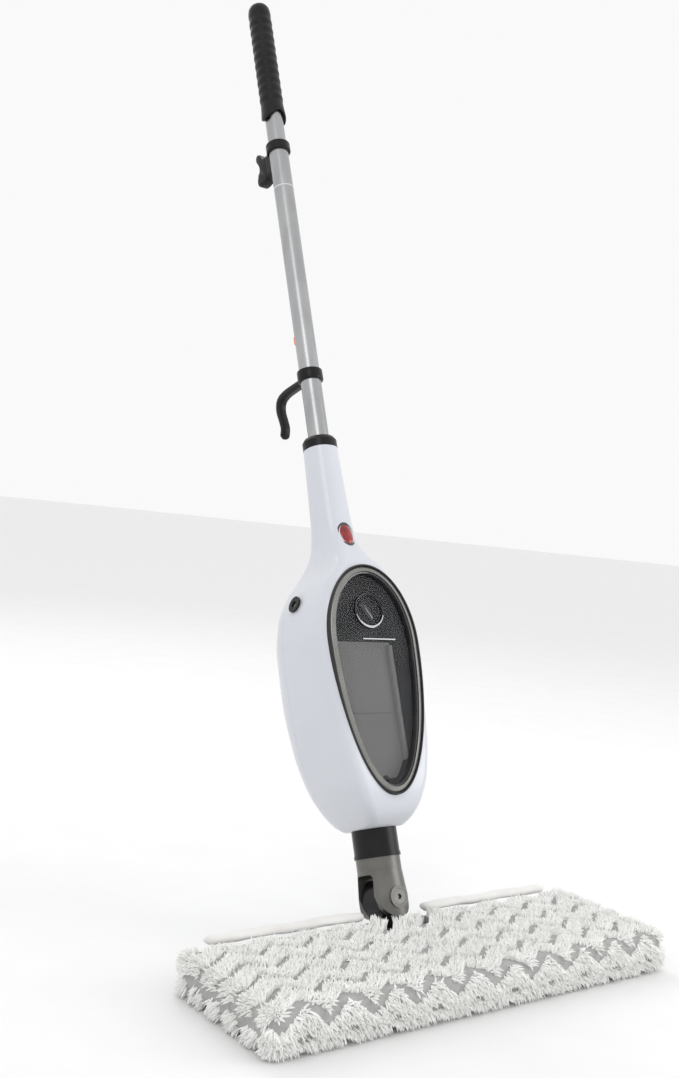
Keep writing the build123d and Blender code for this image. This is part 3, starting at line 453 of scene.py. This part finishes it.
# %% Smoked window
FILLER_HEIGHT = 337
window = skin("smoked_pane", [egg(10.9, 41.4), egg(10.9, 43.6), egg(11.6, 44.2)])
subtract(window, skin("hole tool", turned_across(
    ((20.15, -60), (20.15, -30)), 64, FILLER_HEIGHT)))
place(window, POLE, smoked, "housing", ("tank_window",), 30)

# %% [markdown]
# ## Filler cup
# The cup is a turned piece about an axis square to the window, with a rolled lip. A polished
# crescent on the lower half of the lip, thick in the middle and thin at its ends, is a painted
# highlight.

# %% Cup and its painted highlight crescent
def turned_front(profile):
    """Rings turned about the filler's axis: profile is radius and distance in front."""
    return turned_across([(r, -front) for r, front in profile], 72, FILLER_HEIGHT)


cup = skin("filler_cup_turned", turned_front((
    (11.6, 30), (19.9, 30), (20.0, 44.6), (19.8, 45.6), (19.2, 46.0), (18.6, 45.7),
    (18.3, 45.0), (17.9, 34.2), (16.9, 32.4), (11.6, 32.1))), wrap=True)
place(cup, POLE, charcoal, "housing", ("filler_cup",), 35)
# The crescent is a painted highlight: polished steel laid on the lip where a bright reflection
# falls.
CRESCENT_STEPS = 32
crescent_rings = []
for step in range(CRESCENT_STEPS + 1):
    turn = math.radians(195 + 150 * step / CRESCENT_STEPS)
    wide = 0.3 + 1.5 * math.sin(math.pi * step / CRESCENT_STEPS)
    crescent_rings.append([
        Vector((r * math.cos(turn), -front, FILLER_HEIGHT + r * math.sin(turn)))
        for r, front in ((19.3 - wide, 45.2), (19.3 - wide, 46.2), (19.4, 46.7),
                         (19.9, 46.2), (19.9, 45.2))])
place(skin("cup_lip_painted_highlight", crescent_rings), POLE, bright, "housing", (), 40)

# %% [markdown]
# ## Cap
# The cap is a turned disc with a curved finger bar across it. The bar is skinned along its
# length: it keeps its height over most of it and falls away at both ends, and its middle
# bows to one side.

# %% Cap disc
cap = skin("cap_disc", turned_front((
    (11.1, 24.2), (11.2, 33.5), (17.0, 33.5), (17.5, 34.0), (17.5, 35.2), (17.0, 35.9),
    (14.0, 36.6), (8.0, 37.4), (2.0, 37.7))))
place(cap, POLE, charcoal, "cap", ("tank_cap",), 35)

# %% Finger bar
BAR_HALF, BAR_STEPS, BAR_FOOT = 15.2, 24, 35.6
bar_turn = math.radians(125)
bar_rings = []
for step in range(BAR_STEPS + 1):
    along = -BAR_HALF + 2 * BAR_HALF * step / BAR_STEPS
    swell = math.sqrt(max(0.0, 1 - (along / 15.4) ** 4))
    half, top = 0.6 + 3.4 * swell, 37.0 + 8.0 * swell
    bend = 2.2 * (1 - (along / BAR_HALF) ** 2)
    ring = []
    for across, front in ((-half, BAR_FOOT), (-half * 0.9, top - 1.4), (-half * 0.5, top - 0.3),
                          (0, top), (half * 0.5, top - 0.3), (half * 0.9, top - 1.4),
                          (half, BAR_FOOT)):
        aside = across + bend
        ring.append(Vector((along * math.cos(bar_turn) - aside * math.sin(bar_turn), -front,
                            FILLER_HEIGHT + along * math.sin(bar_turn)
                            + aside * math.cos(bar_turn))))
    bar_rings.append(ring)
place(skin("cap_finger_bar", bar_rings), POLE, charcoal, "cap", (), 40)

# %% [markdown]
# ## Trim at the window
# The block inside the tank has a seam across it at mid height and a rib up its right side,
# and a pale fill line is printed on the window. Each is a flat slab between two rectangles,
# and the two on the block get soft edges from a bevel.

# %% Seam and rib on the tank block
def box_rings(x, h, distances):
    """Rectangles from x[0] to x[1] and h[0] to h[1], one at each distance in front."""
    return [[Vector((x[0] + (x[1] - x[0]) * u, -front, h[0] + (h[1] - h[0]) * v))
             for u, v in ((0, 0), (1, 0), (1, 1), (0, 1))] for front in distances]


for name, x, h, distances in (("tank_seam", (-38, 25), (224.2, 226.4), (33.15, 34.6)),
                              ("tank_rib", (27, 32), (172, 300), (33.15, 38.5))):
    piece = skin(name, box_rings(x, h, distances))
    only(piece)
    softened = piece.modifiers.new("soft edges", "BEVEL")
    softened.width, softened.segments = 0.5, 3
    bpy.ops.object.modifier_apply(modifier=softened.name)
    place(piece, POLE, tank_grey, "housing", (), 40)

# %% Fill line on the window
place(skin("fill_line", box_rings((-13, 33), (304.4, 305.6), (44.45, 44.25))), POLE,
      mark_white, "housing")

# %% [markdown]
# ## Indicator lens
# A domed lens in a thin dark bezel is set into the foot of the neck. Both are ellipses
# stacked in front of the neck, the lens with a soft dome.

# %% Lens and its bezel
def lens_ring(width, height, front, count=56):
    """An ellipse that follows the neck's own surface, at a distance in front of it."""
    turns = [2 * math.pi * i / count for i in range(count)]
    ring = []
    for t in turns:
        x, h = width * math.cos(t), LENS_HEIGHT + height * math.sin(t)
        _, half, surface, _, corner, _ = smooth_station(h)
        fall = (1 - math.cos(math.asin(min(1, abs(x) / half)))) * corner
        ring.append(Vector((x, -(surface - fall + front), h)))
    return ring


place(skin("lens_bezel_ring", [lens_ring(w, h, f) for w, h, f in (
    (12.5, 15.0, -3), (12.5, 15.0, 0.3), (12.0, 14.5, 0.9), (10.4, 12.9, 1.0), (9.6, 12.1, 0.3),
    (9.6, 12.1, -3))], wrap=True), POLE, charcoal, "housing", ("lens_bezel",), 40)
place(skin("lens_dome", [lens_ring(w, h, f) for w, h, f in (
    (9.5, 12.0, -3), (9.5, 12.0, 0.4), (8.6, 11.0, 1.2), (6.6, 8.4, 1.9), (4.0, 5.0, 2.3),
    (1.2, 1.5, 2.45))]), POLE, red_lens, "housing", ("indicator_lens",), 50)

# %% [markdown]
# ## Grip
# The grip is a moulded sleeve with a flared lower edge, cut to a low arch at the front and
# the back. It is turned, and the lowest rings are lifted where the arch is.

# %% Turn the grip
RIBS, RIB_PITCH = 10, 13.2
ARCH_HEIGHT, ARCH_REACH, ARCH_RISE = 1007, 30, 11
grip_profile = ((11.9, 1030), (11.9, 1008), (14.6, 1006), (15.7, 1006.8), (16.0, 1008.4),
                (15.8, 1013), (15.2, 1020), (14.7, 1030))
for rib in range(RIBS):
    foot = 1034 + RIB_PITCH * rib
    grip_profile += ((14.3, foot), (14.9, foot + 2.2), (15.3, foot + 6), (14.9, foot + 9.8))
grip_profile += ((14.4, 1167), (14.9, 1170), (15.0, 1174), (14.8, 1178), (13.9, 1182.6),
                 (12.0, 1186), (9.0, 1188.6), (5.0, 1189.8), (1.0, 1190))
grip_rings = turned(grip_profile, 72)
for ring, (radius, height) in zip(grip_rings, grip_profile):
    for point in ring:
        weight = max(0.0, 1 - abs(height - ARCH_HEIGHT) / ARCH_REACH)
        point.z += ARCH_RISE * weight * (abs(point.y) / max(radius, 0.1)) ** 2
grip = skin("grip_sleeve", grip_rings)
subtract(grip, skin("hang hole tool", turned_across(((3, -40), (3, 40)), 32, 1172)))
place(grip, POLE, black_satin, "pole", ("grip",), 35)

# %% [markdown]
# ## Lower cord hook
# The lower hook is a collar with a slim arm that turns down into a curved finger. The arm
# is skinned along its own line with a squarish section, as a moulded hook has.

# %% Lower hook
def smooth_line(points, per=6, closed=False):
    """Points on a smooth curve through the given ones."""
    count = len(points)
    spans = count if closed else count - 1
    found = []
    for i in range(spans):
        a, b, c, d = [points[(i + k) % count] if closed else
                      points[min(max(i + k, 0), count - 1)] for k in (-1, 0, 1, 2)]
        for step in range(per):
            t = step / per
            found.append(tuple(0.5 * (2 * q + (r - p) * t + (2 * p - 5 * q + 4 * r - w) * t * t
                                      + (3 * q - p - 3 * r + w) * t ** 3)
                               for p, q, r, w in zip(a, b, c, d)))
    return found if closed else found + [points[-1]]


arm_line = smooth_line(((12.8, 641, 4.6), (30, 641.5, 4.6), (50, 641, 4.8), (62, 636.5, 5.0),
                        (66, 625, 4.4), (63.5, 611, 3.9), (62, 600, 3.8), (65, 591, 3.6),
                        (67.5, 588, 1.6)))
ARM_SIDES, SQUARISH = 20, 0.6
arm_rings = []
for i, (b, h, half) in enumerate(arm_line):
    before, after = arm_line[max(i - 1, 0)], arm_line[min(i + 1, len(arm_line) - 1)]
    run = Vector((after[0] - before[0], after[1] - before[1])).normalized()
    ring = []
    for k in range(ARM_SIDES):
        t = 2 * math.pi * k / ARM_SIDES
        u = math.copysign(abs(math.cos(t)) ** SQUARISH, math.cos(t)) * half
        w = math.copysign(abs(math.sin(t)) ** SQUARISH, math.sin(t)) * min(6.0, half * 1.7)
        ring.append(Vector((w, b - run.y * u, h + run.x * u)))
    arm_rings.append(ring)
place(skin("hook_arm", arm_rings), POLE, black_satin, "pole", (), 40)
place(skin("hook_collar", turned((
    (12.6, 636.2), (14.2, 636.0), (15.3, 636.6), (15.6, 637.8), (15.6, 648.2), (15.3, 649.4),
    (14.2, 650.0), (12.6, 649.8)), 72), wrap=True), POLE, black_collar, "pole",
    ("lower_hook",), 40)

# %% [markdown]
# ## Upper cord hook
# The upper hook is a small cleat with two rounded horns that turns about its screw. It is
# skinned from side to side, and its end sections shrink, so that its edges come out soft.

# %% Upper hook
cleat = smooth_line(((20.4, 965), (28, 969), (35, 978), (40, 978.4), (41.6, 972), (37, 962),
                     (36.4, 955), (38.8, 948), (43.2, 942), (43.6, 935.5), (38, 931.4),
                     (28, 931.6), (20.4, 936), (20.4, 950)), closed=True)
middle = Vector((31, 953))
cleat_rings = [[Vector((x, middle.x + (b - middle.x) * k, middle.y + (h - middle.y) * k))
                for b, h in cleat]
               for x, k in ((-7, 0.80), (-6.6, 0.9), (-5.6, 0.97), (-4.4, 1), (4.4, 1),
                            (5.6, 0.97), (6.6, 0.9), (7, 0.80))]
place(skin("hook_cleat", cleat_rings), POLE, black_satin, "hook",
      ("upper_hook",), 40)

# %% [markdown]
# ## Pad
# The pad is a padded pocket: a quilted grey backing with rows of white pile sewn on in
# zigzags. The backing is a skin of rounded sections along the head, with a slight ripple
# along its top and rounded ends. It is cut back where the neck comes out.

# %% Pad section
DEPTH, LOW, HIGH, ROUND = 76.5, 4.0, 40.0, 10.0
HALF_X, END = 257.0, 10.0
NOTCH_X, NOTCH_Y = 36, 53.0


def pad_outline(inset, near_neck):
    """One section of the backing, as points in y and z."""
    back = NOTCH_Y if near_neck else DEPTH
    corners = ((-DEPTH, LOW, 180), (back, LOW, 270), (back, HIGH, 0), (-DEPTH, HIGH, 90))
    points = []
    for y, z, start in corners:
        cy = y + (ROUND if y < 0 else -ROUND)
        cz = z + (ROUND if z < 20 else -ROUND)
        for step in range(7):
            turn = math.radians(start + 15 * step)
            points.append((cy + (ROUND - inset) * math.cos(turn),
                           cz + (ROUND - inset) * math.sin(turn)))
    dense = []
    for i, (y, z) in enumerate(points):
        far_y, far_z = points[(i + 1) % len(points)]
        cuts = 16 if math.hypot(far_y - y, far_z - z) > 60 else 1
        dense += [(y + (far_y - y) * k / cuts, z + (far_z - z) * k / cuts) for k in range(cuts)]
    return dense


# %% Backing
def end_inset(x):
    """How far the section draws in at the rounded ends."""
    past = max(0.0, abs(x) - (HALF_X - END))
    return END * (1 - math.sqrt(max(0.0, 1 - (past / END) ** 2))) * 0.8


stations = list(np.linspace(-HALF_X, -36.1, 60)) + [-35.9, -18, 0, 18, 35.9]
stations += list(np.linspace(36.1, HALF_X, 60))
pad_rings = []
for x in stations:
    puff = 0.8 * math.sin(x / 9.0)
    section = pad_outline(end_inset(x), abs(x) < NOTCH_X)
    pad_rings.append([Vector((x, y, z + (puff if 14 < z < 60 else 0))) for y, z in section])
pad = skin("pad_backing", pad_rings)
place(pad, FLAT, backing, "head", ("pad",), 60)

# %% [markdown]
# ## Pile
# One tuft is a three-sided finger of ten faces. Tufts are set at random over the backing,
# leaning a little each way, but none where a zigzag gap runs or under the smooth hem. They
# are real mesh, joined as one piece, because strands of hair would be lost in an export.

# %% Where the tufts stand
rng = np.random.default_rng(7)
straight_y, straight_z = 2 * (DEPTH - ROUND), HIGH - LOW - 2 * ROUND
quarter = ROUND * math.pi / 2
lengths = [straight_z, quarter, straight_y, quarter, straight_z, quarter, straight_y, quarter]
ends = np.cumsum(lengths)


def on_section(v):
    """Point and direction on the section, v round from the foot of the front edge."""
    k = min(int(np.searchsorted(ends, v, side="right")), 7)
    t = v - (ends[k] - lengths[k])
    low_z, high_z = LOW + ROUND, HIGH - ROUND
    inner = DEPTH - ROUND
    if k == 0:
        return -DEPTH, low_z + t, -1.0, 0.0
    if k == 2:
        return -inner + t, HIGH, 0.0, 1.0
    if k == 4:
        return DEPTH, high_z - t, 1.0, 0.0
    if k == 6:
        return inner - t, LOW, 0.0, -1.0
    centre, start = {1: ((-inner, high_z), 180), 3: ((inner, high_z), 90),
                     5: ((inner, low_z), 0), 7: ((-inner, low_z), -90)}[k]
    turn = math.radians(start - 90 * t / quarter)
    return (centre[0] + ROUND * math.cos(turn), centre[1] + ROUND * math.sin(turn),
            math.cos(turn), math.sin(turn))


ROW, TOOTH, SWING = 29.0, 50.0, 9.5
FRONT_GAP, TOP_GAP = 6.0, 5.2


def in_gap(x, v):
    """Whether a place lies in a bare zigzag band, which is wider down the front edge."""
    zig = SWING * (2 * abs(2 * ((x / TOOTH) % 1.0) - 1) - 1)
    return abs((v + zig - 9.0) % ROW - ROW / 2) < (FRONT_GAP if v < 45 else TOP_GAP)


TUFTS = 44000
AT_THE_ENDS, THINNED_BELOW, SCATTER = 0.07, 0.45, 0.27
roots, aims = [], []
while len(roots) < TUFTS:
    x = rng.uniform(-HALF_X, HALF_X)
    at_end = rng.random() < AT_THE_ENDS
    if at_end:
        x = math.copysign(HALF_X - END + END * math.sin(rng.uniform(0.3, math.pi / 2)), x)
    v = rng.uniform(0, ends[-1])
    y, z, ny, nz = on_section(v)
    if ends[5] < v < ends[6] and rng.random() < THINNED_BELOW:
        continue
    in_notch = abs(x) < NOTCH_X and y > NOTCH_Y
    under_hem = abs(x) < 233 and y > 66 and abs(nz) > 0
    if in_gap(x, v) or in_notch or under_hem:
        continue
    past = max(0.0, abs(x) - (HALF_X - END)) / END
    tip_in = math.sqrt(max(0.0, 1 - past ** 2))
    inset = end_inset(x) + (rng.uniform(0, 7) if at_end and past > 0.9 else 0)
    y, z = y - ny * inset, z - nz * inset
    upright = 0.25 + 0.75 * tip_in
    aim = Vector((math.copysign(past, x), ny * upright, nz * upright))
    aim += Vector(rng.normal(0, SCATTER, 3))
    if v < ends[1]:
        aim.z -= 0.25
    if abs(x) < 46 and y > 36 and nz > 0:
        aim += Vector((0, 0.35, 1.1))
    roots.append((x, y, z))
    aims.append(aim.normalized())
print("tufts", len(roots))

# %% [markdown]
# ## Growing the tufts
# Each tuft has a triangle at its root, a slightly smaller one past the middle and one point
# at its tip, which droops. Tufts underneath are shorter, because the mop stands on them,
# and those round the neck are longer.

# %% Grow the tufts
THIRD_TURN, FULL_TURN = 2.0944, 6.28
points, faces = [], []
for (x, y, z), aim in zip(roots, aims):
    root = Vector((x, y, z)) - aim * 1.5
    long = rng.uniform(7.0, 11.0) if z > LOW + 0.5 else rng.uniform(5.0, 7.0)
    if abs(x) < 46 and y > 38 and z > 35:
        long += 5.0
    side = aim.orthogonal().normalized()
    side = Matrix.Rotation(rng.uniform(0, FULL_TURN), 3, aim) @ side
    other = aim.cross(side)
    droop = Vector((0, 0, -rng.uniform(0.5, 2.4)))
    middle, tip = root + aim * long * 0.6 + droop * 0.3, root + aim * long + droop
    start = len(points)
    for centre, radius in ((root, 1.2), (middle, 1.0)):
        for k in range(3):
            angle = THIRD_TURN * k
            points.append(centre + side * radius * math.cos(angle)
                          + other * radius * math.sin(angle))
    points.append(tip)
    for k in range(3):
        j = (k + 1) % 3
        faces.append((start + k, start + j, start + 3 + j, start + 3 + k))
        faces.append((start + 3 + k, start + 3 + j, start + 6))
    faces.append((start + 2, start + 1, start))
for point in points:
    point.z = max(point.z, 0.2)
tuft_mesh = bpy.data.meshes.new("pad_pile")
tuft_mesh.from_pydata([p * MM for p in points], [], faces)
pile = bpy.data.objects.new("pad_pile", tuft_mesh)
bpy.context.scene.collection.objects.link(pile)
tuft_mesh.materials.append(pile_white)
only(pile)
bpy.ops.object.shade_smooth_by_angle(angle=math.radians(70))
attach(pile, "head")
print("pile faces", len(tuft_mesh.polygons))

# %% [markdown]
# ## Hem
# The mouth of the pocket is bound with a smooth folded strip, in four lengths: above and
# below, left and right of the neck. Each is a soft roll that wavers along its length and
# thins out at both ends.

# %% Hem rolls
HEM_FROM, HEM_TO = 40, 232
HEM_DEEP, HEM_TALL = 7.0, 4.4
hem_parts = []
for side in (-1, 1):
    for middle_z in (44.6, 5.6):
        rings = []
        for x in np.linspace(HEM_FROM, HEM_TO, 49):
            wave = 0.7 * math.sin(x / 11.0) + 0.4 * math.sin(x / 4.7)
            past = max(0.0, (x - 222) / 10.2, (48 - x) / 8.2)
            thin = math.sqrt(max(0.02, 1 - past ** 2))
            rings.append([Vector((side * x, 79.0 + wave + HEM_DEEP * thin * math.cos(t),
                                  middle_z + HEM_TALL * thin * math.sin(t)
                                  + 0.4 * math.sin(2 * t + x / 14)))
                          for t in np.linspace(0, 2 * math.pi, 28, endpoint=False)])
        roll = skin("hem_roll_%d_%d" % (side + 1, int(middle_z)), rings)
        hem_parts.append(roll)
for roll in hem_parts:
    place(roll, FLAT, binding, "head", (), 60)
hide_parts("pad_hem")

# %% [markdown]
# ## Studio
# The mop stands on a pale floor in a bright surround, under three large soft lights, as it
# would be in a product studio. Large lights give plastic long soft reflections.

# %% Floor and lights
nothing_selected()
bpy.ops.mesh.primitive_plane_add(size=90, location=(0, 0, -0.0005))
floor = bpy.context.object
floor.name = "studio_floor"
floor.data.materials.append(finish("studio floor", (0.86, 0.86, 0.86), (0.88, 0.88, 0.88),
                                   0.8, bump=0.0))
world = bpy.data.worlds.new("studio")
bpy.context.scene.world = world
world.use_nodes = True
world.node_tree.nodes["Background"].inputs["Color"].default_value = (1, 1, 1, 1)
world.node_tree.nodes["Background"].inputs["Strength"].default_value = 0.95
LAMPS = (("key", (-1.9, -1.2, 2.4), 1.2, 8), ("fill", (2.0, -1.4, 1.2), 1.4, 16),
         ("back", (0.4, 2.2, 2.4), 1.4, 12))
lit = Vector((0, 0.25, 0.5))
for name, spot, size, power in LAMPS:
    lamp = bpy.data.lights.new(name, "AREA")
    lamp.size, lamp.energy = size, power
    light = bpy.data.objects.new(name, lamp)
    bpy.context.scene.collection.objects.link(light)
    light.location = spot
    light.rotation_euler = (lit - Vector(spot)).to_track_quat("-Z", "Y").to_euler()

# %% [markdown]
# ## Camera
# The camera stands low and close, in front of the mop and to its left, so the pole narrows
# towards the grip. Its right and up directions are given, which turns it a little about its
# own line of sight as well as aiming it.

# %% Camera
eye = bpy.data.cameras.new("camera")
eye.sensor_width, eye.lens, eye.clip_end = 36.0, 39.65, 50
camera = bpy.data.objects.new("camera", eye)
bpy.context.scene.collection.objects.link(camera)
right, up = Vector((0.78752, -0.60754, 0.10345)), Vector((-0.07213, 0.07583, 0.99451))
back = right.cross(up)
camera.matrix_world = Matrix.Translation((-0.83943, -0.84865, 0.44970)) @ Matrix(
    (right, up, back)).transposed().to_4x4()
bpy.context.scene.camera = camera
bpy.context.scene.view_settings.view_transform = "Standard"
print("camera at", tuple(round(v, 3) for v in camera.matrix_world.translation))
